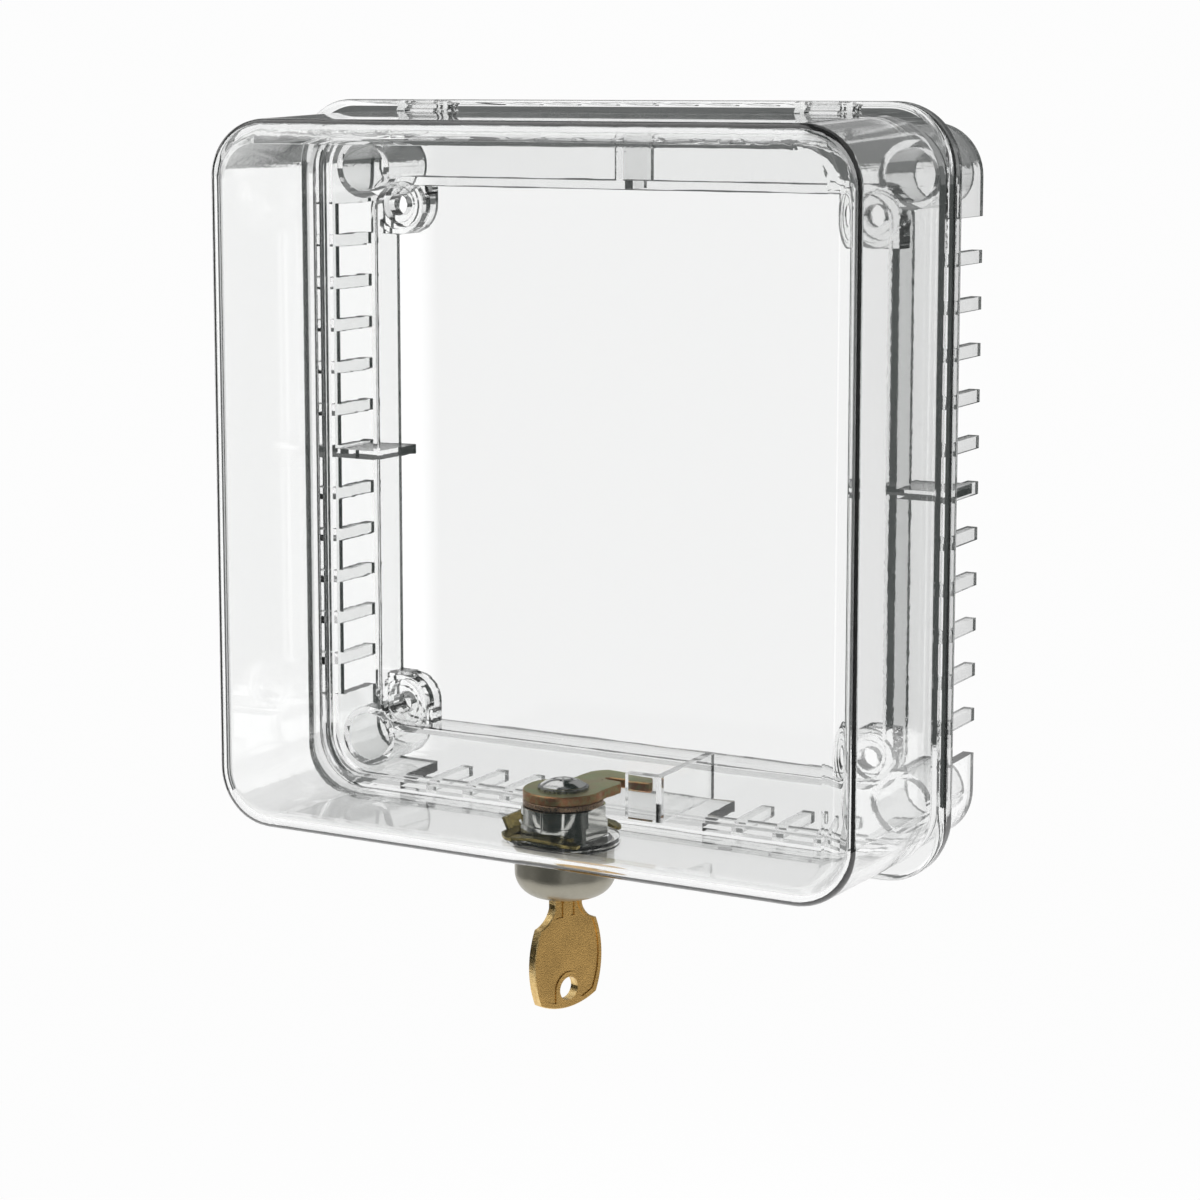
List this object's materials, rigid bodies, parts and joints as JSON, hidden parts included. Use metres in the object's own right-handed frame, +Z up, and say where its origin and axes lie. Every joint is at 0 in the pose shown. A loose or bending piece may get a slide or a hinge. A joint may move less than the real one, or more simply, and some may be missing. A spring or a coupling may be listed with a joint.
{
  "type": "thermostat lock box",
  "caption": "Clear square wall box that keeps a thermostat under lock: vented ring base, hinged cover, cam lock and key.",
  "frame": {"origin": "centre of the four screw holes at their front ends, where the screw heads seat; the wall is the plane Y = +16.8 mm", "axes": "+X to the right seen from the front, +Y into the wall, +Z up; the front of the cover faces -Y"},
  "size_m": [0.1706, 0.07, 0.2082],
  "materials": {
    "cover_clear": "clear, polished",
    "base_clear": "clear, moulded",
    "lock_zinc": "bright plated",
    "head_nickel": "satin",
    "plug_zinc": "plain",
    "wafer_brass": "plain",
    "spring_steel": "plain",
    "clip_zinc": "yellow passivated",
    "stop_steel": "yellow passivated",
    "cam_zinc": "yellow passivated",
    "washer_steel": "plain",
    "screw_nickel": "bright",
    "key_brass": "satin"
  },
  "bodies": {
    "base": {"ring_base": "base_clear"},
    "cover": {"cover_shell": "cover_clear", "lock_housing": "lock_zinc", "head_cap": "head_nickel", "lock_clip": "clip_zinc"},
    "plug": {"lock_plug": "plug_zinc", "wafer_1": "wafer_brass", "wafer_2": "wafer_brass", "wafer_3": "wafer_brass", "wafer_4": "wafer_brass", "wafer_5": "wafer_brass", "wafer_spring_1": "spring_steel", "wafer_spring_2": "spring_steel", "wafer_spring_3": "spring_steel", "wafer_spring_4": "spring_steel", "wafer_spring_5": "spring_steel", "stop_washer": "stop_steel", "hook_cam": "cam_zinc", "tooth_washer": "washer_steel", "cam_screw": "screw_nickel"},
    "key": {"key": "key_brass"}
  },
  "joints": [
    {"name": "cover_hinge", "type": "hinge", "parent": "base", "child": "cover", "pos_m": [0, 0.0006, 0.0831], "axis": [-1, 0, 0], "range_deg": [0, 90]},
    {"name": "lock_turn", "type": "hinge", "parent": "cover", "child": "plug", "pos_m": [0, -0.028, -0.0833], "axis": [0, 0, 1], "range_deg": [-35, 55]},
    {"name": "key_slide", "type": "slide", "parent": "plug", "child": "key", "axis": [0, 0, -1], "range_m": [0, 0.03]}
  ]
}
